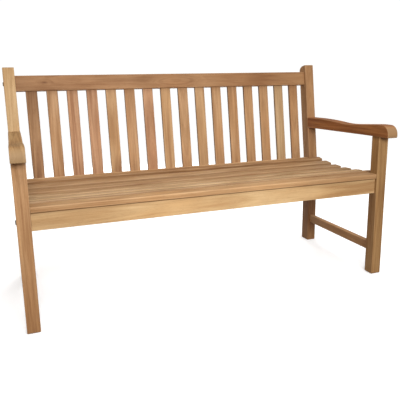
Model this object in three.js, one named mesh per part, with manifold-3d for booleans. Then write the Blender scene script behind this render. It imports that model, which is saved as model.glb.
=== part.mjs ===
// Three-seat garden bench in solid teak, in millimetres, +Z up.
// +X runs along the bench, +Y from the front edge to the back, and the origin is at the middle of the
// footprint on the ground. Boards meet in mortise and tenon joints. The two end frames (leg, post, arm,
// side rail, stretcher) are bolted to the apron and to the two rails of the back, as a kit would be.
import * as THREE from 'three';
import { mergeVertices } from 'three/addons/utils/BufferGeometryUtils.js';
import Module from 'manifold-3d';

const wasm = await Module();
wasm.setup();

// ---- Driving dimensions -------------------------------------------------------------------------
// Before the last step of this file, y = 0 is the front face of the front legs.

const WIDTH = 1500; // over the outer faces of the legs
const FIT = 0.3; // gap left in every joint
const EASE = 2.5; // rounding of the sawn edges

const LEG_WIDTH = 47;
const LEG_DEPTH = 48;
const FOOT_CHAMFER = 4;

const POST_FRONT = 531; // front face of the upright half of a back post
const POST_DEPTH = 57;
const BEND_HEIGHT = 412; // where the back post starts to lean
const RAKE = THREE.MathUtils.degToRad(8.25);
const POST_RISE = 511; // from the bend to the top, along the leaning half
const POST_CROWN_FLAT = 19; // flat part of the post's top, front to back
const POST_CROWN_DROP = 22; // fall of the rounded part behind it

const APRON_BOTTOM = 367;
const APRON_HEIGHT = 65;
const APRON_THICKNESS = 28;
const APRON_SETBACK = 12;

const SEAT_THICKNESS = 20;
const FRONT_BOARD_SETBACK = 3;
const FRONT_BOARD_BACK = 62;
const FRONT_BOARD_NOSING = 4;
const SLAT_DEPTH = 48;
const SLAT_PITCH = 82;
const SLAT_COUNT = 6;
const FIRST_SLAT_FRONT = 77;
const LAST_SLAT_DEPTH = 34; // the rearmost slat is ripped narrower
const DISH_RADIUS = 1300; // the seat is hollowed along this arc
const DISH_CENTRE = 305; // y of its lowest line
const DISH_LOW = 434; // height of the seat's top there

const SIDE_RAIL_THICKNESS = 28;
const BEARER_THICKNESS = 28;
const BEARER_BOTTOM = 377;

const STRETCHER_BOTTOM = 99;
const STRETCHER_HEIGHT = 38;
const STRETCHER_THICKNESS = 24;

const ARM_UNDERSIDE = 610; // over the leg
const ARM_FALL = 8; // the underside drops this much on its way back to the post
const ARM_FLAT_END = 70; // y where that fall starts
const ARM_NOSE = 53; // overhang in front of the leg
const ARM_NOSE_RADIUS = 38;
const ARM_NOSE_HEIGHT = 51;
const ARM_LIP_RADIUS = 6;

const BACK_RAIL_SETBACK = 13;
const BACK_RAIL_THICKNESS = 38;
const TOP_RAIL_FOOT = 413; // along the leaning half, from the bend
const TOP_RAIL_HEIGHT = 65;
const LOWER_RAIL_FOOT = -42;
const LOWER_RAIL_HEIGHT = 80;

const BACK_SLAT_COUNT = 16;
const BACK_SLAT_WIDTH = 47.5;
const BACK_SLAT_THICKNESS = 14;
const BACK_SLAT_HOUSING = 10; // depth of the slats in the rails

const STUB_TENON = 10; // length of the tenons of the bolted joints
const STUB_TENON_THICKNESS = 14;
const LONG_TENON = 24; // length of the tenons that go into a back post
const SHORT_TENON = 16; // and of those that meet the stub tenons inside a front leg
const LEG_TENON_LENGTH = 22;
const LEG_TENON_MARGIN = 10; // shoulder in front of the leg's tenon and behind it
const ARM_TENON_THICKNESS = 16;
const RAIL_TENON_THICKNESS = 12;
const STRETCHER_TENON_THICKNESS = 10;
const BACK_RAIL_TENON_THICKNESS = 16;
const BEARER_TENON_THICKNESS = 14;
const TENON_SHOULDER = 8; // least shoulder above and below a tenon
const TENON_ROOT = 5; // a tenon's block also runs this far into its own board

const BOLT_RADIUS = 3;
const BOLT_HOLE_RADIUS = 3.4;
const BOLT_REACH = 46; // length of bolt inside the rail
const BOLT_HEAD_RADIUS = 9;
const BOLT_HEAD_HEIGHT = 3.2;
const BOLT_SOCKET_RADIUS = 2.3;
const BOLT_SOCKET_DEPTH = 2.2;
const NUT_RADIUS = 5;
const NUT_LENGTH = 18;
const NUT_DISTANCE = 32; // from the end of the rail to the barrel nut
const HOLE_SPARE = 2; // a bolt hole goes this much deeper than its bolt

// ---- Dimensions that follow ---------------------------------------------------------------------

const OUTER = WIDTH / 2;
const INNER = OUTER - LEG_WIDTH;
const SPAN = 2 * INNER;
const FRAME_MIDDLE = OUTER - LEG_WIDTH / 2; // x of the middle of a leg
const APRON_TOP = APRON_BOTTOM + APRON_HEIGHT;
const APRON_MIDDLE = APRON_SETBACK + APRON_THICKNESS / 2;
const APRON_BACK = APRON_SETBACK + APRON_THICKNESS;
const BACK_RAIL_MIDDLE = BACK_RAIL_SETBACK + BACK_RAIL_THICKNESS / 2;
const LOWER_RAIL_TOP = LOWER_RAIL_FOOT + LOWER_RAIL_HEIGHT;

// Carries the leaning half's own frame (y across the post, z up along it) to the bench's frame.
const LEAN = new THREE.Matrix4()
  .makeTranslation(0, POST_FRONT, BEND_HEIGHT)
  .multiply(new THREE.Matrix4().makeRotationX(-RAKE));
const UNLEAN = LEAN.clone().invert();

// y of the leaning half's front face at a height.
const postFaceAt = (z) => POST_FRONT + (z - BEND_HEIGHT) * Math.tan(RAKE);

// ---- Solids -------------------------------------------------------------------------------------

const X = new THREE.Vector3(1, 0, 0);
const Y = new THREE.Vector3(0, 1, 0);
const Z = new THREE.Vector3(0, 0, 1);

// Each matrix turns an extrusion, which grows along +Z, so that it grows along that axis.
const GROW = {
  x: new THREE.Matrix4().makeBasis(Y, Z, X),
  y: new THREE.Matrix4().makeBasis(Z, X, Y),
  z: new THREE.Matrix4(),
};

function toSolid(geometry) {
  const bare = geometry.index ? geometry.toNonIndexed() : geometry.clone();
  bare.deleteAttribute('normal');
  bare.deleteAttribute('uv');
  const merged = mergeVertices(bare, 1e-4);
  return new wasm.Manifold(
    new wasm.Mesh({
      numProp: 3,
      vertProperties: merged.attributes.position.array,
      triVerts: new Uint32Array(merged.index.array),
    }),
  );
}

function toGeometry(solid) {
  const mesh = solid.getMesh();
  const geometry = new THREE.BufferGeometry();
  geometry.setAttribute('position', new THREE.BufferAttribute(mesh.vertProperties, 3));
  geometry.setIndex(new THREE.BufferAttribute(mesh.triVerts, 1));
  geometry.computeVertexNormals();
  return geometry;
}

const join = (...geometries) => geometries.map(toSolid).reduce((whole, piece) => whole.add(piece));
const cut = (solid, ...geometries) =>
  geometries.map(toSolid).reduce((whole, tool) => whole.subtract(tool), solid);

function roundedRectangle(width, height, radius) {
  const right = width / 2 - radius;
  const top = height / 2 - radius;
  const shape = new THREE.Shape();
  shape.absarc(right, -top, radius, -Math.PI / 2, 0, false);
  shape.absarc(right, top, radius, 0, Math.PI / 2, false);
  shape.absarc(-right, top, radius, Math.PI / 2, Math.PI, false);
  shape.absarc(-right, -top, radius, Math.PI, Math.PI * 1.5, false);
  return shape;
}

// A plain block between two corners.
function block(low, high) {
  const size = high.map((value, i) => value - low[i]);
  const middle = high.map((value, i) => (value + low[i]) / 2);
  return new THREE.BoxGeometry(...size).translate(...middle);
}

// A block grown by the joint gap, for cutting the mortise that takes that block.
function mortise(low, high) {
  return block(
    low.map((value) => value - FIT),
    high.map((value) => value + FIT),
  );
}

// A straight board between two corners, its long edges eased, its ends chamfered by endChamfer.
function board(along, low, high, { edge = EASE, endChamfer = 0 } = {}) {
  const size = new THREE.Vector3(...high).sub(new THREE.Vector3(...low));
  const section = { x: [size.y, size.z], y: [size.z, size.x], z: [size.x, size.y] }[along];
  const geometry = new THREE.ExtrudeGeometry(roundedRectangle(...section, edge), {
    depth: size[along] - 2 * endChamfer,
    curveSegments: 1,
    bevelEnabled: endChamfer > 0,
    bevelThickness: endChamfer,
    bevelSize: endChamfer,
    bevelOffset: -endChamfer,
    bevelSegments: 1,
  });
  geometry.translate(0, 0, endChamfer - size[along] / 2);
  geometry.applyMatrix4(GROW[along]);
  const middle = high.map((value, i) => (value + low[i]) / 2);
  return geometry.translate(...middle);
}

// A side profile drawn in (y, z), given its width along X with eased edges on both faces.
function profiled(shape, middleX, width, curveSegments = 4) {
  const geometry = new THREE.ExtrudeGeometry(shape, {
    depth: width - 2 * EASE,
    curveSegments,
    bevelThickness: EASE,
    bevelSize: EASE,
    bevelOffset: -EASE,
    bevelSegments: 2,
  });
  geometry.translate(0, 0, EASE - width / 2);
  geometry.applyMatrix4(GROW.x);
  return geometry.translate(middleX, 0, 0);
}

// A round rod between two places on X, for bolt holes.
function rodAlongX(radius, from, to, y, z) {
  return new THREE.CylinderGeometry(radius, radius, Math.abs(to - from), 20)
    .rotateZ(Math.PI / 2)
    .translate((from + to) / 2, y, z);
}

function rodAlongY(radius, from, to, x, z) {
  return new THREE.CylinderGeometry(radius, radius, to - from, 20).translate(x, (from + to) / 2, z);
}

// ---- Materials and nodes ------------------------------------------------------------------------

const TEAK_TONES = [0xc79a66, 0xbd8f5c, 0xd0a877, 0xc29363, 0xb98a58];

function teak(tone) {
  const color = TEAK_TONES[tone % TEAK_TONES.length];
  return new THREE.MeshStandardMaterial({ color, roughness: 0.68, metalness: 0 });
}

function steel() {
  return new THREE.MeshStandardMaterial({ color: 0x54524e, roughness: 0.42, metalness: 1 });
}

function node(name, solid, material) {
  const mesh = new THREE.Mesh(toGeometry(solid), material);
  mesh.name = name;
  return mesh;
}

// ---- Seat curve ---------------------------------------------------------------------------------

const seatHeight = (y) => DISH_LOW + (y - DISH_CENTRE) ** 2 / (2 * DISH_RADIUS);
const seatSlope = (y) => (y - DISH_CENTRE) / DISH_RADIUS;

// Top edge of a support under the seat slats, as points from y = from to y = to.
function supportLine(from, to) {
  const steps = 16;
  return Array.from({ length: steps + 1 }, (_, i) => {
    const y = from + ((to - from) * i) / steps;
    return new THREE.Vector2(y, seatHeight(y) - SEAT_THICKNESS - FIT);
  });
}

// ---- End frame: the right-hand one, mirrored for the left ---------------------------------------

// A tenon in the middle of the end frame that runs along Y.
function frameTenon(thickness, from, to, low, high) {
  return [
    [FRAME_MIDDLE - thickness / 2, from, low],
    [FRAME_MIDDLE + thickness / 2, to, high],
  ];
}

const RAIL_TENON_LOW = APRON_BOTTOM + TENON_SHOULDER;
const RAIL_TENON_HIGH = RAIL_TENON_LOW + 42;
const STRETCHER_TENON_LOW = STRETCHER_BOTTOM + 5;
const STRETCHER_TENON_HIGH = STRETCHER_BOTTOM + STRETCHER_HEIGHT - 5;
const ARM_TENON_LOW = ARM_UNDERSIDE + 4;
const ARM_TENON_HIGH = ARM_UNDERSIDE + 32;

const TENONS = {
  legIntoArm: [
    [FRAME_MIDDLE - LEG_WIDTH / 4, LEG_TENON_MARGIN, ARM_UNDERSIDE - 1],
    [FRAME_MIDDLE + LEG_WIDTH / 4, LEG_DEPTH - LEG_TENON_MARGIN, ARM_UNDERSIDE + LEG_TENON_LENGTH],
  ],
  armIntoPost: frameTenon(
    ARM_TENON_THICKNESS,
    postFaceAt(ARM_TENON_LOW) - TENON_ROOT,
    postFaceAt(ARM_TENON_LOW) + LONG_TENON,
    ARM_TENON_LOW,
    ARM_TENON_HIGH,
  ),
  railIntoLeg: frameTenon(
    RAIL_TENON_THICKNESS,
    LEG_DEPTH - SHORT_TENON,
    LEG_DEPTH + TENON_ROOT,
    RAIL_TENON_LOW,
    RAIL_TENON_HIGH,
  ),
  railIntoPost: frameTenon(
    RAIL_TENON_THICKNESS,
    POST_FRONT - TENON_ROOT,
    POST_FRONT + LONG_TENON,
    RAIL_TENON_LOW,
    RAIL_TENON_HIGH,
  ),
  stretcherIntoLeg: frameTenon(
    STRETCHER_TENON_THICKNESS,
    LEG_DEPTH - LONG_TENON,
    LEG_DEPTH + TENON_ROOT,
    STRETCHER_TENON_LOW,
    STRETCHER_TENON_HIGH,
  ),
  stretcherIntoPost: frameTenon(
    STRETCHER_TENON_THICKNESS,
    POST_FRONT - TENON_ROOT,
    POST_FRONT + LONG_TENON,
    STRETCHER_TENON_LOW,
    STRETCHER_TENON_HIGH,
  ),
  apronIntoLeg: [
    [INNER - TENON_ROOT, APRON_MIDDLE - STUB_TENON_THICKNESS / 2, APRON_BOTTOM + TENON_SHOULDER],
    [INNER + STUB_TENON, APRON_MIDDLE + STUB_TENON_THICKNESS / 2, APRON_TOP - TENON_SHOULDER],
  ],
};

// The stub tenon of a back rail in the post, in the leaning frame.
function backRailTenon(foot, height) {
  return [
    [INNER - TENON_ROOT, BACK_RAIL_MIDDLE - BACK_RAIL_TENON_THICKNESS / 2, foot + TENON_SHOULDER],
    [INNER + STUB_TENON, BACK_RAIL_MIDDLE + BACK_RAIL_TENON_THICKNESS / 2, foot + height - TENON_SHOULDER],
  ];
}

const BACK_RAILS = {
  top_rail: { foot: TOP_RAIL_FOOT, height: TOP_RAIL_HEIGHT },
  lower_rail: { foot: LOWER_RAIL_FOOT, height: LOWER_RAIL_HEIGHT },
};

const apronBoltZ = APRON_BOTTOM + APRON_HEIGHT / 2;
const railBoltZ = ({ foot, height }) => foot + height / 2;

function frontLeg() {
  const body = board('z', [INNER, 0, 0], [OUTER, LEG_DEPTH, ARM_UNDERSIDE - FIT]);
  const chamfered = footCut(toSolid(body), [INNER, 0], [OUTER, LEG_DEPTH]);
  return cut(
    chamfered.add(toSolid(block(...TENONS.legIntoArm))),
    mortise(...TENONS.railIntoLeg),
    mortise(...TENONS.stretcherIntoLeg),
    mortise(...TENONS.apronIntoLeg),
    rodAlongX(BOLT_HOLE_RADIUS, INNER - 1, OUTER + 1, APRON_MIDDLE, apronBoltZ),
  );
}

// Keeps what lies inside a tapered block, which chamfers the four bottom edges of a foot.
function footCut(solid, low, high) {
  const reach = 700;
  const corners = (inset) => [
    [low[0] + inset, low[1] + inset],
    [high[0] - inset, low[1] + inset],
    [high[0] - inset, high[1] - inset],
    [low[0] + inset, high[1] - inset],
  ];
  const slope = new THREE.BufferGeometry();
  const wide = FOOT_CHAMFER - reach;
  const points = [
    ...corners(FOOT_CHAMFER).map(([x, y]) => [x, y, 0]),
    ...corners(wide).map(([x, y]) => [x, y, reach]),
  ];
  const quads = [
    [3, 2, 1, 0],
    [4, 5, 6, 7],
    [0, 1, 5, 4],
    [1, 2, 6, 5],
    [2, 3, 7, 6],
    [3, 0, 4, 7],
  ];
  slope.setAttribute('position', new THREE.Float32BufferAttribute(points.flat(), 3));
  slope.setIndex(quads.flatMap(([a, b, c, d]) => [a, b, c, a, c, d]));
  return solid.intersect(toSolid(slope));
}

function postProfile() {
  const leaning = (y, z) => {
    const point = new THREE.Vector3(0, y, z).applyMatrix4(LEAN);
    return [point.y, point.z];
  };
  const bendBehind = BEND_HEIGHT - POST_DEPTH * Math.tan(RAKE / 2);
  const crown = Array.from({ length: 7 }, (_, i) => {
    const angle = (Math.PI / 2) * (i / 6);
    return leaning(
      POST_CROWN_FLAT + (POST_DEPTH - POST_CROWN_FLAT) * Math.cos(angle),
      POST_RISE - POST_CROWN_DROP * (1 - Math.sin(angle)),
    );
  });
  const outline = [
    [POST_FRONT, 0],
    [POST_FRONT + POST_DEPTH, 0],
    [POST_FRONT + POST_DEPTH, bendBehind],
    ...crown,
    leaning(3, POST_RISE),
    leaning(0, POST_RISE - 3),
    [POST_FRONT, BEND_HEIGHT],
  ];
  return new THREE.Shape(outline.map(([y, z]) => new THREE.Vector2(y, z)));
}

function backPost() {
  const body = toSolid(profiled(postProfile(), FRAME_MIDDLE, LEG_WIDTH));
  const railCuts = Object.values(BACK_RAILS).flatMap((rail) => [
    mortise(...backRailTenon(rail.foot, rail.height)),
    rodAlongX(BOLT_HOLE_RADIUS, INNER - 1, OUTER + 1, BACK_RAIL_MIDDLE, railBoltZ(rail)),
  ]);
  return cut(
    body,
    mortise(...TENONS.armIntoPost),
    mortise(...TENONS.railIntoPost),
    mortise(...TENONS.stretcherIntoPost),
    ...railCuts.map((geometry) => geometry.applyMatrix4(LEAN)),
  );
}

function armProfile() {
  const top = ARM_UNDERSIDE + ARM_NOSE_HEIGHT;
  const rearAt = (z) => postFaceAt(z) - FIT / Math.cos(RAKE);
  const rearTop = ARM_UNDERSIDE + 43;
  const rearBottom = ARM_UNDERSIDE - ARM_FALL;
  const shape = new THREE.Shape();
  shape.moveTo(rearAt(rearTop), rearTop);
  shape.splineThru([
    new THREE.Vector2(470, ARM_UNDERSIDE + 44.5),
    new THREE.Vector2(357, ARM_UNDERSIDE + 42.5),
    new THREE.Vector2(235, ARM_UNDERSIDE + 36.5),
    new THREE.Vector2(120, ARM_UNDERSIDE + 43.5),
    new THREE.Vector2(30, ARM_UNDERSIDE + 50.5),
    new THREE.Vector2(ARM_NOSE_RADIUS - ARM_NOSE, top),
  ]);
  shape.absarc(
    ARM_NOSE_RADIUS - ARM_NOSE,
    top - ARM_NOSE_RADIUS,
    ARM_NOSE_RADIUS,
    Math.PI / 2,
    Math.PI,
    false,
  );
  shape.absarc(
    ARM_LIP_RADIUS - ARM_NOSE,
    ARM_UNDERSIDE + ARM_LIP_RADIUS,
    ARM_LIP_RADIUS,
    Math.PI,
    Math.PI * 1.5,
    false,
  );
  shape.lineTo(ARM_FLAT_END, ARM_UNDERSIDE);
  shape.lineTo(rearAt(rearBottom), rearBottom);
  shape.closePath();
  return shape;
}

function arm() {
  const body = profiled(armProfile(), FRAME_MIDDLE, LEG_WIDTH + 2);
  return cut(join(body, block(...TENONS.armIntoPost)), mortise(...TENONS.legIntoArm));
}

function sideRail() {
  const front = LEG_DEPTH + FIT;
  const back = POST_FRONT - FIT;
  const top = supportLine(front, back).reverse();
  const outline = [
    new THREE.Vector2(front, APRON_BOTTOM),
    new THREE.Vector2(back, APRON_BOTTOM),
    ...top,
  ];
  const body = profiled(new THREE.Shape(outline), FRAME_MIDDLE, SIDE_RAIL_THICKNESS);
  return join(body, block(...TENONS.railIntoLeg), block(...TENONS.railIntoPost));
}

function sideStretcher() {
  const half = STRETCHER_THICKNESS / 2;
  const body = board(
    'y',
    [FRAME_MIDDLE - half, LEG_DEPTH + FIT, STRETCHER_BOTTOM],
    [FRAME_MIDDLE + half, POST_FRONT - FIT, STRETCHER_BOTTOM + STRETCHER_HEIGHT],
  );
  return join(body, block(...TENONS.stretcherIntoLeg), block(...TENONS.stretcherIntoPost));
}

// ---- Bolts and barrel nuts, on the right-hand end -----------------------------------------------

function bolt(y, z) {
  const seat = OUTER + FIT / 3;
  const profile = [
    [0, 0],
    [BOLT_RADIUS, 0],
    [BOLT_RADIUS, 1],
    [BOLT_HEAD_RADIUS, 1],
    [BOLT_HEAD_RADIUS, 2],
    [BOLT_HEAD_RADIUS - 2.5, BOLT_HEAD_HEIGHT + 1],
    [0, BOLT_HEAD_HEIGHT + 1],
  ];
  const head = new THREE.LatheGeometry(profile.map((point) => new THREE.Vector2(...point)), 24)
    .rotateZ(-Math.PI / 2)
    .translate(seat - 1, y, z);
  const shank = rodAlongX(BOLT_RADIUS, INNER - BOLT_REACH, seat, y, z);
  const socket = new THREE.CylinderGeometry(BOLT_SOCKET_RADIUS, BOLT_SOCKET_RADIUS, 10, 6)
    .rotateZ(-Math.PI / 2)
    .translate(seat + BOLT_HEAD_HEIGHT - BOLT_SOCKET_DEPTH + 5, y, z);
  return cut(join(head, shank), socket);
}

function barrelNut(y, z) {
  const x = INNER - NUT_DISTANCE;
  const barrel = rodAlongY(NUT_RADIUS, y - NUT_LENGTH / 2, y + NUT_LENGTH / 2, x, z);
  return cut(toSolid(barrel), rodAlongX(BOLT_RADIUS + FIT / 2, x - 10, x + 10, y, z));
}

// Cuts the bolt hole and the barrel nut's hole, which opens at the back, into both ends of a rail.
function drillEnds(solid, y, z, backFace) {
  const deepest = INNER - BOLT_REACH - HOLE_SPARE;
  const nutFront = y - NUT_LENGTH / 2 - 1;
  const tools = [-1, 1].flatMap((side) => [
    rodAlongX(BOLT_HOLE_RADIUS, side * deepest, side * OUTER, y, z),
    rodAlongY(NUT_RADIUS + FIT, nutFront, backFace + 1, side * (INNER - NUT_DISTANCE), z),
  ]);
  return cut(solid, ...tools);
}

// A block and its mirror image at the other end of a long board.
const bothEnds = ([low, high]) => [
  block(low, high),
  block([-high[0], low[1], low[2]], [-low[0], high[1], high[2]]),
];

// ---- Back: rails and slats, in the leaning frame ------------------------------------------------

const backSlatGap = (SPAN - BACK_SLAT_COUNT * BACK_SLAT_WIDTH) / (BACK_SLAT_COUNT + 1);
const backSlatX = (i) =>
  -INNER + backSlatGap + BACK_SLAT_WIDTH / 2 + i * (BACK_SLAT_WIDTH + backSlatGap);

function backSlatCorners(i) {
  const x = backSlatX(i);
  const halfWidth = BACK_SLAT_WIDTH / 2;
  const halfThickness = BACK_SLAT_THICKNESS / 2;
  return [
    [x - halfWidth, BACK_RAIL_MIDDLE - halfThickness, LOWER_RAIL_TOP - BACK_SLAT_HOUSING],
    [x + halfWidth, BACK_RAIL_MIDDLE + halfThickness, TOP_RAIL_FOOT + BACK_SLAT_HOUSING],
  ];
}

function backRail({ foot, height }) {
  const backFace = BACK_RAIL_SETBACK + BACK_RAIL_THICKNESS;
  const body = board(
    'x',
    [-INNER + FIT, BACK_RAIL_SETBACK, foot],
    [INNER - FIT, backFace, foot + height],
  );
  const housings = Array.from({ length: BACK_SLAT_COUNT }, (_, i) => mortise(...backSlatCorners(i)));
  const rail = cut(join(body, ...bothEnds(backRailTenon(foot, height))), ...housings);
  return drillEnds(rail, BACK_RAIL_MIDDLE, railBoltZ({ foot, height }), backFace);
}

// ---- Seat ---------------------------------------------------------------------------------------

const BEARER_TENON_LOW = BEARER_BOTTOM + TENON_SHOULDER;
const BEARER_TENON_IN_APRON = [
  [-BEARER_TENON_THICKNESS / 2, APRON_BACK - TENON_SHOULDER, BEARER_TENON_LOW],
  [BEARER_TENON_THICKNESS / 2, APRON_BACK + TENON_ROOT, BEARER_TENON_LOW + 30],
];
const BEARER_TENON_IN_RAIL = [
  [-BEARER_TENON_THICKNESS / 2, POST_FRONT + BACK_RAIL_SETBACK - 10, BEARER_TENON_LOW + 6],
  [BEARER_TENON_THICKNESS / 2, POST_FRONT + BACK_RAIL_SETBACK + 10, BEARER_TENON_LOW + 34],
];

function apron() {
  const body = board(
    'x',
    [-INNER + FIT, APRON_SETBACK, APRON_BOTTOM],
    [INNER - FIT, APRON_BACK, APRON_TOP],
  );
  const joined = cut(join(body, ...bothEnds(TENONS.apronIntoLeg)), mortise(...BEARER_TENON_IN_APRON));
  return drillEnds(joined, APRON_MIDDLE, apronBoltZ, APRON_BACK);
}

function seatBearer() {
  const front = APRON_BACK + FIT;
  const backAt = (z) => postFaceAt(z) + (BACK_RAIL_SETBACK - FIT) / Math.cos(RAKE);
  const arcFrom = FRONT_BOARD_BACK + 4;
  const rearTop = seatHeight(POST_FRONT) - SEAT_THICKNESS - FIT;
  const outline = [
    new THREE.Vector2(front, BEARER_BOTTOM),
    new THREE.Vector2(backAt(BEARER_BOTTOM), BEARER_BOTTOM),
    new THREE.Vector2(backAt(rearTop), rearTop),
    ...supportLine(arcFrom, POST_FRONT - 4).reverse(),
    new THREE.Vector2(arcFrom - 2, APRON_TOP - FIT),
    new THREE.Vector2(front, APRON_TOP - FIT),
  ];
  const body = profiled(new THREE.Shape(outline), 0, BEARER_THICKNESS);
  return join(body, block(...BEARER_TENON_IN_APRON), block(...BEARER_TENON_IN_RAIL));
}

function frontBoard() {
  const bottom = APRON_TOP + FIT / 3;
  const top = bottom + SEAT_THICKNESS;
  const nosing = FRONT_BOARD_NOSING;
  const front = FRONT_BOARD_SETBACK;
  const rear = FRONT_BOARD_BACK - EASE;
  const shape = new THREE.Shape();
  shape.absarc(front + nosing, top - nosing, nosing, Math.PI / 2, Math.PI, false);
  shape.absarc(front + EASE, bottom + EASE, EASE, Math.PI, Math.PI * 1.5, false);
  shape.absarc(rear, bottom + EASE, EASE, Math.PI * 1.5, Math.PI * 2, false);
  shape.absarc(rear, top - EASE, EASE, 0, Math.PI / 2, false);
  const length = SPAN - 2 * FIT;
  const geometry = new THREE.ExtrudeGeometry(shape, {
    depth: length,
    curveSegments: 2,
    bevelEnabled: false,
  });
  geometry.translate(0, 0, -length / 2);
  return toSolid(geometry.applyMatrix4(GROW.x));
}

// A seat slat about its own middle, and the place and tilt that lay it on the dished supports.
function seatSlat(index) {
  const front = FIRST_SLAT_FRONT + index * SLAT_PITCH;
  const depth = index === SLAT_COUNT - 1 ? LAST_SLAT_DEPTH : SLAT_DEPTH;
  const y = front + depth / 2;
  const rise = depth ** 2 / (8 * DISH_RADIUS); // the flat underside bridges the hollow arc
  const solid = toSolid(
    board('x', [-OUTER, -depth / 2, -SEAT_THICKNESS / 2], [OUTER, depth / 2, SEAT_THICKNESS / 2], {
      edge: 3,
      endChamfer: 1.5,
    }),
  );
  return { solid, y, z: seatHeight(y) + rise - SEAT_THICKNESS / 2, tilt: Math.atan(seatSlope(y)) };
}

// ---- Assembly -----------------------------------------------------------------------------------

function endFrame(side) {
  const group = new THREE.Group();
  group.add(
    node(`front_leg_${side}`, frontLeg(), teak(0)),
    node(`back_post_${side}`, backPost(), teak(3)),
    node(`arm_${side}`, arm(), teak(1)),
    node(`seat_side_rail_${side}`, sideRail(), teak(4)),
    node(`side_stretcher_${side}`, sideStretcher(), teak(2)),
    node(`apron_bolt_${side}`, bolt(APRON_MIDDLE, apronBoltZ), steel()),
    node(`apron_barrel_nut_${side}`, barrelNut(APRON_MIDDLE, apronBoltZ), steel()),
  );
  const leaning = new THREE.Group();
  leaning.applyMatrix4(LEAN);
  for (const [name, rail] of Object.entries(BACK_RAILS)) {
    leaning.add(
      node(`${name}_bolt_${side}`, bolt(BACK_RAIL_MIDDLE, railBoltZ(rail)), steel()),
      node(`${name}_barrel_nut_${side}`, barrelNut(BACK_RAIL_MIDDLE, railBoltZ(rail)), steel()),
    );
  }
  group.add(leaning);
  group.scale.x = side === 'left' ? -1 : 1;
  return group;
}

function back() {
  const group = new THREE.Group();
  group.applyMatrix4(LEAN);
  const lowerRail = cut(
    backRail(BACK_RAILS.lower_rail),
    mortise(...BEARER_TENON_IN_RAIL).applyMatrix4(UNLEAN),
  );
  group.add(
    node('back_top_rail', backRail(BACK_RAILS.top_rail), teak(0)),
    node('back_lower_rail', lowerRail, teak(3)),
  );
  for (let i = 0; i < BACK_SLAT_COUNT; i++) {
    const slat = toSolid(board('z', ...backSlatCorners(i), { edge: 2 }));
    group.add(node(`back_slat_${String(i + 1).padStart(2, '0')}`, slat, teak(i * 2 + 1)));
  }
  return group;
}

function seat() {
  const group = new THREE.Group();
  group.add(
    node('front_apron', apron(), teak(2)),
    node('seat_bearer', seatBearer(), teak(4)),
    node('seat_front_board', frontBoard(), teak(1)),
  );
  for (let i = 0; i < SLAT_COUNT; i++) {
    const { solid, y, z, tilt } = seatSlat(i);
    const slat = node(`seat_slat_${i + 1}`, solid, teak(i));
    slat.position.set(0, y, z);
    slat.rotation.x = tilt;
    group.add(slat);
  }
  return group;
}

const bench = new THREE.Group();
bench.add(endFrame('left'), endFrame('right'), back(), seat());

// The origin goes to the middle of the bench's footprint on the ground.
const extent = new THREE.Box3().setFromObject(bench);
bench.position.set(0, -(extent.min.y + extent.max.y) / 2, -extent.min.z);

const part = new THREE.Group();
part.add(bench);

export default part;
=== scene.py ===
# The look of a three-seat teak garden bench. Every CAD board gets a double with rounded corners that
# stands for it, and solid teak whose growth rings run through the board in three dimensions.
import math
import random

import bmesh
import bpy
from mathutils import Matrix, Vector


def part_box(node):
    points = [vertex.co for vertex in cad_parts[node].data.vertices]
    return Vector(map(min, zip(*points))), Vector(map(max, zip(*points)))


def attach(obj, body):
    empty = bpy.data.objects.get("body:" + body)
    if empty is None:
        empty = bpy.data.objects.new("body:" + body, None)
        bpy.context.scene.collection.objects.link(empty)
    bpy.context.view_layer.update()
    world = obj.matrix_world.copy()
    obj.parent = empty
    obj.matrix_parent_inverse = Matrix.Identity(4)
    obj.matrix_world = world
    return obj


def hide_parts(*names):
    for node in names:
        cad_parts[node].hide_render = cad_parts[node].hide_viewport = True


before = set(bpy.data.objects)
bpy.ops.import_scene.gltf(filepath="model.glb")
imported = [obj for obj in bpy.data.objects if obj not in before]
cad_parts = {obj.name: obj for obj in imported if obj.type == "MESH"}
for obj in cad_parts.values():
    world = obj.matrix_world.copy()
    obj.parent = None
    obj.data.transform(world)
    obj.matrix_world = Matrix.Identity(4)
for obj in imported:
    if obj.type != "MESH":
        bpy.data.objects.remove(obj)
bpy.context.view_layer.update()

MM = 0.001

# ---- Rounding of the boards ------------------------------------------------------------------------

WELD = 0.01 * MM
COPLANAR = math.radians(0.3)
CORNER = math.radians(28)  # edges sharper than this are rounded
ROUNDING = 0.8 * MM
ROUNDING_STEPS = 2
ARRIS_WIDTH = 4.2 * MM  # faces narrower than this belong to a rounded edge

# ---- Grain directions: along the board, then across its wide face ----------------------------------

RAKE = math.radians(8.25)  # lean of the back
X, Y, Z = Vector((1, 0, 0)), Vector((0, 1, 0)), Vector((0, 0, 1))


def leaning(angle):
    """Straight up, tilted back by an angle."""
    return Vector((0, math.sin(angle), math.cos(angle)))


GRAIN = {
    "along_x": (X, Z),
    "seat_x": (X, Y),
    "along_y": (Y, Z),
    "upright": (Z, X),
    "post": (leaning(RAKE / 2), X),
    "back_slat": (leaning(RAKE), X),
}

# Where the tree's pith lay from the middle of the board, across its wide face and below it, and how
# many degrees the board leans to the pith.
SAWN = {
    "flat": (6 * MM, 48 * MM, 0.9),
    "cathedral": (3 * MM, 30 * MM, 3.2),
    "rift": (55 * MM, 60 * MM, 0.9),
    "quarter": (130 * MM, 12 * MM, 0.9),
}


def tint(red, green, blue):
    """A linear colour from the 0 to 255 values that a paint chart gives."""

    def linear(value):
        share = value / 255
        return share / 12.92 if share <= 0.04045 else ((share + 0.055) / 1.055) ** 2.4

    return (linear(red), linear(green), linear(blue), 1.0)


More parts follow.
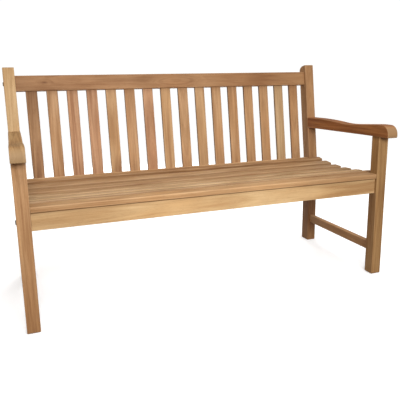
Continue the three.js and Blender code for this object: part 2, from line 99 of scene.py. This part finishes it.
# Early wood and late wood of each tone of teak.
TONES = {
    "straw": (tint(206, 174, 128), tint(178, 143, 98)),
    "cream": (tint(214, 181, 134), tint(186, 150, 104)),
    "honey": (tint(194, 156, 112), tint(162, 123, 82)),
    "tan": (tint(188, 148, 106), tint(154, 114, 75)),
    "rose": (tint(186, 142, 104), tint(152, 108, 74)),
    "chestnut": (tint(172, 130, 88), tint(138, 98, 62)),
    # Russet is partly painted shade: the right arm's own redder tone, made darker and redder still to
    # match its shaded inner side.
    "russet": (tint(170, 114, 64), tint(130, 80, 40)),
    "olive": (tint(176, 138, 90), tint(138, 102, 60)),
    "umber": (tint(174, 134, 92), tint(130, 92, 56)),
    "sand": (tint(197, 165, 125), tint(163, 131, 93)),
    "dust": (tint(186, 152, 113), tint(148, 116, 79)),
    "drab": (tint(178, 143, 104), tint(144, 109, 74)),
}

# What each mark of the wood, and the painted shade, multiplies the wood's colour by.
BLOTCH_TINT = (0.9, 0.78, 0.64, 1)
VEIN_TINT = (0.66, 0.52, 0.4, 1)
PORE_TINT = (0.5, 0.4, 0.32, 1)
HEART_TINT = (0.5, 0.34, 0.24, 1)
# Painted shade for the sides of boards in gaps and joints.
SIDE_SHADE_TINT = (0.26, 0.17, 0.11, 1)
# Darkens the stretches in the table below, most of them painted shade.
STRETCH_SHADE_TINT = (0.6, 0.52, 0.44, 1)
# What end grain and rubbed edges turn to.
END_GRAIN_COLOUR = tint(150, 122, 86)
RUBBED_COLOUR = tint(226, 196, 156)

# node: (grain, sawn, tone)
BOARDS = {
    "front_leg_left": ("upright", "rift", "tan"),
    "front_leg_right": ("upright", "rift", "olive"),
    "back_post_left": ("post", "rift", "straw"),
    "back_post_right": ("post", "flat", "tan"),
    "arm_left": ("along_y", "flat", "olive"),
    "arm_right": ("along_y", "quarter", "russet"),
    "seat_side_rail_left": ("along_y", "rift", "tan"),
    "seat_side_rail_right": ("along_y", "rift", "honey"),
    "side_stretcher_left": ("along_y", "flat", "tan"),
    "side_stretcher_right": ("along_y", "flat", "tan"),
    "front_apron": ("along_x", "flat", "cream"),
    "seat_bearer": ("along_y", "rift", "umber"),
    "seat_front_board": ("seat_x", "flat", "honey"),
    "back_top_rail": ("along_x", "flat", "chestnut"),
    "back_lower_rail": ("along_x", "rift", "honey"),
    "seat_slat_1": ("seat_x", "quarter", "dust"),
    "seat_slat_2": ("seat_x", "flat", "sand"),
    "seat_slat_3": ("seat_x", "rift", "dust"),
    "seat_slat_4": ("seat_x", "quarter", "drab"),
    "seat_slat_5": ("seat_x", "flat", "drab"),
    "seat_slat_6": ("seat_x", "rift", "umber"),
}
# node: (middle, stretch, reach, swell, heart) of each knot or swirl that pushes the rings aside
KNOTS = {
    "back_top_rail": [
        (Vector((-0.585, 0.306, 0.853)), (0.35, 0.3, 1.0), 14 * MM, 9 * MM, 5 * MM),
        (Vector((0.02, 0.306, 0.852)), (0.16, 0.3, 1.0), 26 * MM, 18 * MM, 0.5 * MM),
    ],
    "back_slat_05": [(Vector((-0.282, 0.262, 0.45)), (1.0, 0.3, 0.4), 40 * MM, 14 * MM, 34 * MM)],
}

# node: (side, strength) of each side that faces a gap or a joint and is darkened there with painted
# shade
SIDES_WITH_PAINTED_SHADE = {
    "seat_front_board": [(Y, 0.6), (-Z, 1.0)],
    "front_apron": [(Z, 1.0)],
    "seat_side_rail_left": [(Z, 1.0)],
    "seat_side_rail_right": [(Z, 1.0)],
    "seat_bearer": [(Z, 1.0)],
}
# node: (axis, place where it starts, place where it is full, strength) of each darker stretch of a
# board. The narrow bands at the tops of the legs and the apron stand for shade that this soft light
# doesn't cast. The back posts below the seat, the lower ends of the back slats and the ends of the
# apron and the front board are darkened with painted shade, for the shade and the fall of light there.
# The front legs grow darker towards the foot.
PAINTED_SHADE_STRETCHES = {
    "front_leg_left": [("Z", 0.3, 0.2, 0.35), ("Z", 0.594, 0.606, 1.0)],
    "front_leg_right": [("Z", 0.62, 0.5, 0.2), ("Z", 0.594, 0.606, 1.0)],
    "back_post_left": [("Z", 0.42, 0.3, 1.0)],
    "back_post_right": [("Z", 0.8, 0.3, 0.9)],
    "front_apron": [("Z", 0.427, 0.43, 1.5), ("X", -0.2, -0.7, 0.6), ("X", 0.25, 0.7, 0.35)],
    "seat_front_board": [("X", -0.35, -0.7, 0.55), ("X", 0.05, 0.4, 0.35)],
}
# Painted shade on the sides of the seat slats and back slats that face the gaps between them.
for number in range(1, 7):
    SIDES_WITH_PAINTED_SHADE[f"seat_slat_{number}"] = [(Y, 0.6), (-Y, 0.25)]
SIDES_WITH_PAINTED_SHADE["seat_slat_1"] = [(Y, 0.6), (-Y, 0.4)]  # behind the front board, where the gap is deepest
for number in range(1, 17):
    SIDES_WITH_PAINTED_SHADE[f"back_slat_{number:02d}"] = [(X, 0.6), (-X, 0.6)]
    # Painted shade, darker towards the lower ends of the back slats.
    PAINTED_SHADE_STRETCHES[f"back_slat_{number:02d}"] = [("Z", 0.56, 0.43, 0.35)]

BACK_SLAT_TONES = (
    "umber tan rose rose honey tan rose honey "
    "tan honey tan tan tan tan sand tan"
).split()
BACK_SLAT_SAWN = ("flat", "rift", "quarter", "rift", "flat", "quarter", "cathedral", "rift", "cathedral")

for position, tone in enumerate(BACK_SLAT_TONES):
    sawn = BACK_SLAT_SAWN[position % len(BACK_SLAT_SAWN)]
    BOARDS[f"back_slat_{position + 1:02d}"] = ("back_slat", sawn, tone)


# ---- Shader helper ---------------------------------------------------------------------------------


class Shader:
    """One material, with short calls that each add a node and return its output."""

    def __init__(self, name):
        self.material = bpy.data.materials.new(name)
        self.material.use_nodes = True
        self.nodes = self.material.node_tree.nodes
        self.links = self.material.node_tree.links
        self.surface = self.nodes["Principled BSDF"]

    def feed(self, socket, value):
        if isinstance(value, bpy.types.NodeSocket):
            self.links.new(value, socket)
        else:
            socket.default_value = value

    def set(self, name, value):
        self.feed(self.surface.inputs[name], value)

    def place(self):
        return self.nodes.new("ShaderNodeTexCoord").outputs["Object"]

    def facing(self, direction):
        """How far the surface faces a direction: 1 straight towards it, -1 straight away."""
        normal = self.nodes.new("ShaderNodeTexCoord").outputs["Normal"]
        return self.vector("DOT_PRODUCT", normal, direction)

    def attribute(self, name):
        node = self.nodes.new("ShaderNodeAttribute")
        node.attribute_name = name
        return node.outputs["Fac"]

    def math(self, operation, *values, clamp=False):
        node = self.nodes.new("ShaderNodeMath")
        node.operation = operation
        node.use_clamp = clamp
        for socket, value in zip(node.inputs, values):
            self.feed(socket, value)
        return node.outputs["Value"]

    def vector(self, operation, *values):
        node = self.nodes.new("ShaderNodeVectorMath")
        node.operation = operation
        for socket, value in zip(node.inputs, values):
            self.feed(socket, value)
        return node.outputs["Value" if operation in ("LENGTH", "DOT_PRODUCT") else "Vector"]

    def mapping(self, vector, location, rotation):
        node = self.nodes.new("ShaderNodeMapping")
        self.feed(node.inputs["Vector"], vector)
        node.inputs["Location"].default_value = location
        node.inputs["Rotation"].default_value = rotation
        return node.outputs["Vector"]

    def part(self, vector, axis):
        node = self.nodes.new("ShaderNodeSeparateXYZ")
        self.feed(node.inputs["Vector"], vector)
        return node.outputs[axis]

    def combine(self, *values):
        node = self.nodes.new("ShaderNodeCombineXYZ")
        for socket, value in zip(node.inputs, values):
            self.feed(socket, value)
        return node.outputs["Vector"]

    def noise(self, vector, stretch=(1, 1, 1), detail=2.0, roughness=0.5, output="Fac"):
        node = self.nodes.new("ShaderNodeTexNoise")
        self.feed(node.inputs["Vector"], self.vector("MULTIPLY", vector, stretch))
        node.inputs["Scale"].default_value = 1
        node.inputs["Detail"].default_value = detail
        node.inputs["Roughness"].default_value = roughness
        return node.outputs[output]

    def remap(self, value, low, high, to_low=0.0, to_high=1.0):
        node = self.nodes.new("ShaderNodeMapRange")
        for socket, amount in zip(node.inputs, (value, low, high, to_low, to_high)):
            self.feed(socket, amount)
        return node.outputs["Result"]

    def mix(self, factor, first, second, blend="MIX"):
        node = self.nodes.new("ShaderNodeMix")
        node.data_type = "RGBA"
        node.blend_type = blend
        self.feed(node.inputs["Factor"], factor)
        self.feed(node.inputs[6], first)
        self.feed(node.inputs[7], second)
        return node.outputs[2]

    def bump(self, height, distance, strength):
        node = self.nodes.new("ShaderNodeBump")
        node.inputs["Strength"].default_value = strength
        node.inputs["Distance"].default_value = distance
        self.feed(node.inputs["Height"], height)
        return node.outputs["Normal"]


# ---- Teak ------------------------------------------------------------------------------------------


def board_place(grain, sawn, middle, chance):
    """Where a board lies in its tree, as a location and a rotation for a Mapping node: x runs up the
    tree and the pith is at y = z = 0."""
    along, across = GRAIN[grain]
    through = along.cross(across)
    across_pith, below_pith, lean = SAWN[sawn]
    tilt = Matrix.Rotation(math.radians(lean * chance.uniform(0.6, 1) * chance.choice((-1, 1))), 3, "Y")
    swing = Matrix.Rotation(math.radians(chance.uniform(-0.7, 0.7)), 3, "Z")
    turn = tilt @ swing @ Matrix((along, across, through))
    spread = 6 * MM
    offset = Vector(
        (
            chance.uniform(2, 30),
            across_pith * chance.choice((-1, 1)) + chance.uniform(-spread, spread),
            below_pith + chance.uniform(-spread, spread),
        )
    )
    return offset - turn @ middle, turn.to_euler("XYZ")


def growth_rings(s, name, wood, place):
    """The distance from the pith, bent by the tree's own wandering and by any knots, with the height
    up the tree. The hearts of the knots come second."""
    wander = s.vector("SUBTRACT", s.noise(wood, (1.6, 14, 14), 2, output="Color"), (0.5, 0.5, 0.5))
    bent = s.vector("MULTIPLY_ADD", wander, (0.0, 0.016, 0.016), wood)
    radius = s.vector("LENGTH", s.vector("MULTIPLY", bent, (0, 1, 1)))
    hearts = 0.0
    for middle, stretch, reach, swell, heart in KNOTS.get(name, ()):
        away = s.vector("LENGTH", s.vector("MULTIPLY", s.vector("SUBTRACT", place, middle), stretch))
        radius = s.math("ADD", radius, s.remap(away, reach, 0, 0, swell))
        hearts = s.math("ADD", hearts, s.remap(away, heart, 0))
    return s.combine(radius, s.part(wood, "X"), 0.0), hearts


def teak(name, grain, sawn, tone, middle):
    """Solid oiled teak for one board. From coarse to fine, it has growth bands, rings, dark veins and
    blotches, streaks along the grain and open pores, then rubbed edges, and painted shade in gaps,
    joints and along some boards."""
    chance = random.Random(name)
    light, dark = TONES[tone]
    s = Shader("teak_" + name)
    place = s.place()
    wood = s.mapping(place, *board_place(grain, sawn, middle, chance))
    growth, hearts = growth_rings(s, name, wood, place)

    bands = s.noise(growth, (85, 3.2, 1), 2, 0.55)
    rings = s.noise(growth, (430, 4, 1), 1)
    streaks = s.noise(wood, (6, 230, 230), 3, 0.6)
    blotches = s.noise(wood, (3.5, 16, 16), 2)
    veins = s.remap(s.noise(growth, (150, 1.6, 1), 1), 0.62, 0.74)
    pores = s.remap(s.noise(wood, (55, 1300, 1300), 1), 0.6, 0.72)

    weighed = s.math("MULTIPLY_ADD", bands, 0.55, s.math("MULTIPLY", rings, 0.2))
    weighed = s.math("MULTIPLY_ADD", streaks, 0.25, weighed)
    figure = s.remap(weighed, 0.39, 0.61)
    colour = s.mix(figure, dark, light)
    colour = s.mix(s.remap(blotches, 0.4, 0.66, 0, 0.6), colour, BLOTCH_TINT, "MULTIPLY")
    colour = s.mix(s.math("MULTIPLY", veins, 0.5), colour, VEIN_TINT, "MULTIPLY")
    colour = s.mix(s.math("MULTIPLY", pores, 0.4), colour, PORE_TINT, "MULTIPLY")
    colour = s.mix(s.math("MULTIPLY", hearts, 0.8), colour, HEART_TINT, "MULTIPLY")
    colour = s.mix(end_grain(s, grain), colour, END_GRAIN_COLOUR)
    rubbed = s.math("MULTIPLY", s.attribute("arris"), s.remap(streaks, 0.35, 0.65, 0.0, 0.2))
    colour = s.mix(rubbed, colour, RUBBED_COLOUR)
    # Painted shade on the sides of the board in gaps and joints.
    for side, strength in SIDES_WITH_PAINTED_SHADE.get(name, ()):
        colour = s.mix(painted_side_shade(s, side, strength, streaks), colour, SIDE_SHADE_TINT, "MULTIPLY")
    # Painted shade along the darker stretches of the board.
    for axis, start, full, strength in PAINTED_SHADE_STRETCHES.get(name, ()):
        painted_shade_amount = s.remap(s.part(place, axis), start, full, 0, strength)
        colour = s.mix(painted_shade_amount, colour, STRETCH_SHADE_TINT, "MULTIPLY")

    s.set("Base Color", colour)
    rough = s.math("MULTIPLY_ADD", pores, 0.12, s.remap(figure, 0, 1, 0.66, 0.54))
    s.set("Roughness", rough)
    s.set("Specular IOR Level", 0.35)
    relief = s.math("MULTIPLY_ADD", pores, -0.8, s.math("ADD", rings, streaks))
    s.set("Normal", s.bump(relief, 0.25 * MM, 0.6))
    return s.material


def end_grain(s, grain):
    """Grows as the surface turns across the grain."""
    across = s.math("ABSOLUTE", s.facing(GRAIN[grain][0]))
    return s.remap(across, 0.25, 0.85, 0, 0.72)


def painted_side_shade(s, side, strength, streaks):
    """Painted shade that darkens one side of a board inside a gap or a joint, unevenly along the
    streaks.
    """
    uneven = s.remap(streaks, 0.3, 0.6, strength, 0.7 * strength)
    return s.math("MULTIPLY", s.remap(s.facing(side), 0.25, 0.8), uneven)


def steel():
    """Dull zinc plating, a little cloudy."""
    s = Shader("dull_zinc_plated_steel")
    place = s.place()
    cloud = s.noise(place, (160, 160, 160), 3)
    grit = s.noise(place, (1400, 1400, 1400), 2)
    s.set("Base Color", s.mix(cloud, tint(70, 66, 60), tint(116, 112, 104)))
    s.set("Metallic", 1.0)
    s.set("Roughness", s.remap(grit, 0.3, 0.7, 0.38, 0.56))
    s.set("Normal", s.bump(grit, 0.05 * MM, 0.4))
    return s.material


# ---- Doubles of the CAD nodes ----------------------------------------------------------------------


def rounded_double(node_name):
    """A new piece from a node's mesh with its corners rounded. Its faces know whether they belong to
    a rounded edge."""
    shape = bmesh.new()
    shape.from_mesh(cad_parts[node_name].data)
    bmesh.ops.remove_doubles(shape, verts=shape.verts, dist=WELD)
    bmesh.ops.dissolve_limit(shape, angle_limit=COPLANAR, verts=shape.verts, edges=shape.edges)
    corners = [edge for edge in shape.edges if edge.calc_face_angle(0) > CORNER]
    bmesh.ops.bevel(
        shape,
        geom=corners,
        offset=ROUNDING,
        segments=ROUNDING_STEPS,
        profile=0.5,
        affect="EDGES",
        clamp_overlap=True,
    )
    arris = shape.faces.layers.float.new("arris")
    for face in shape.faces:
        longest = max(edge.calc_length() for edge in face.edges)
        face[arris] = float(face.calc_area() < longest * ARRIS_WIDTH)
        face.smooth = True
    mesh = bpy.data.meshes.new("look_" + node_name)
    shape.to_mesh(mesh)
    shape.free()
    piece = bpy.data.objects.new("look_" + node_name, mesh)
    bpy.context.scene.collection.objects.link(piece)
    piece.modifiers.new("flat_faces", "WEIGHTED_NORMAL").keep_sharp = True
    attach(piece, "root")
    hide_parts(node_name)
    return piece


bolt_steel = steel()

for node_name in sorted(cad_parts):
    piece = rounded_double(node_name)
    piece.data.materials.clear()
    if node_name in BOARDS:
        grain, sawn, tone = BOARDS[node_name]
        low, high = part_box(node_name)
        piece.data.materials.append(teak(node_name, grain, sawn, tone, (low + high) / 2))
    else:
        piece.data.materials.append(bolt_steel)


# ---- Floor, light and camera -----------------------------------------------------------------------

FLOOR_HALF = 14.0
FLOOR_GLOW = 0.24  # a lit floor, so that the shadow on it stays pale


def floor():
    """A pale, plain floor, wide enough for every view."""
    shape = bmesh.new()
    bmesh.ops.create_grid(shape, x_segments=8, y_segments=8, size=FLOOR_HALF)
    mesh = bpy.data.meshes.new("floor")
    shape.to_mesh(mesh)
    shape.free()
    piece = bpy.data.objects.new("floor", mesh)
    bpy.context.scene.collection.objects.link(piece)
    s = Shader("pale_floor")
    s.set("Base Color", tint(246, 246, 246))
    s.set("Roughness", 0.9)
    s.set("Specular IOR Level", 0.1)
    s.set("Emission Color", (1, 1, 1, 1))
    s.set("Emission Strength", FLOOR_GLOW)
    mesh.materials.append(s.material)
    piece.visible_diffuse = False  # its white doesn't flood the bench's shaded sides


def softbox(name, place, aim, width, height, spread, power):
    """A rectangular lamp, in metres, degrees and watts, that the camera doesn't see."""
    light = bpy.data.lights.new(name, "AREA")
    light.shape = "RECTANGLE"
    light.size = width
    light.size_y = height
    light.spread = math.radians(spread)
    light.energy = power
    lamp = bpy.data.objects.new(name, light)
    bpy.context.scene.collection.objects.link(lamp)
    lamp.visible_camera = False
    lamp.location = place
    lamp.rotation_euler = (Vector(aim) - Vector(place)).to_track_quat("-Z", "Y").to_euler()
    return lamp


def sun(aim_from, width, strength):
    """A far, wide lamp, so that the whole floor gets the same light."""
    light = bpy.data.lights.new("sun", "SUN")
    light.angle = math.radians(width)
    light.energy = strength
    lamp = bpy.data.objects.new("sun", light)
    bpy.context.scene.collection.objects.link(lamp)
    lamp.rotation_euler = (-Vector(aim_from)).to_track_quat("-Z", "Y").to_euler()


def sky(seen, bright, dim, axis):
    """A white sky, as bright as seen behind the bench. It lights the bench with one colour from the
    end of an axis and with another from the opposite end."""
    world = bpy.data.worlds.new("studio")
    world.use_nodes = True
    nodes, links = world.node_tree.nodes, world.node_tree.links
    direction = nodes.new("ShaderNodeTexCoord")
    turned = nodes.new("ShaderNodeVectorMath")
    turned.operation = "DOT_PRODUCT"
    links.new(direction.outputs["Generated"], turned.inputs[0])
    turned.inputs[1].default_value = Vector(axis).normalized()
    share = nodes.new("ShaderNodeMapRange")
    share.inputs["From Min"].default_value = -0.15
    share.inputs["From Max"].default_value = 0.8
    links.new(turned.outputs["Value"], share.inputs["Value"])
    given = nodes.new("ShaderNodeMix")
    given.data_type = "RGBA"
    links.new(share.outputs["Result"], given.inputs["Factor"])
    given.inputs[6].default_value = dim
    given.inputs[7].default_value = bright
    rays = nodes.new("ShaderNodeLightPath")
    shown = nodes.new("ShaderNodeMix")
    shown.data_type = "RGBA"
    links.new(rays.outputs["Is Camera Ray"], shown.inputs["Factor"])
    links.new(given.outputs[2], shown.inputs[6])
    shown.inputs[7].default_value = (seen, seen, seen, 1)
    links.new(shown.outputs[2], nodes["Background"].inputs["Color"])
    bpy.context.scene.world = world


def camera():
    """Stands in front of the left leg and looks along the bench to the right and a little down."""
    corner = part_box("front_leg_left")[0]
    data = bpy.data.cameras.new("camera")
    data.sensor_width = 36
    data.lens = 46.18
    data.shift_x = -0.0127
    data.shift_y = -0.0197
    view = bpy.data.objects.new("camera", data)
    bpy.context.scene.collection.objects.link(view)
    heading, dip, roll = 20.56, 12.84, -0.81
    turn = (
        Matrix.Rotation(math.radians(-heading), 4, "Z")
        @ Matrix.Rotation(math.radians(90 - dip), 4, "X")
        @ Matrix.Rotation(math.radians(roll), 4, "Z")
    )
    view.matrix_world = Matrix.Translation(corner + Vector((0.0126, -1.7502, 0.8739))) @ turn
    bpy.context.scene.camera = view


floor()
sky(seen=1.05, bright=(0.66, 0.66, 0.66, 1), dim=(0.14, 0.085, 0.045, 1), axis=(0.15, -0.1, 1.0))
sun((0.1, -0.35, 1.2), 50, 1.0)
softbox("front_key", (-0.25, -2.35, 1.35), (-0.05, 0.0, 0.5), 1.6, 0.8, 100, 18.5)
back_fill = softbox("back_fill", (0.9, 3.0, 0.9), (0.0, 0.2, 0.5), 2.2, 1.0, 150, 55)
back_fill.visible_glossy = False
camera()
bpy.context.scene.view_settings.view_transform = "Standard"
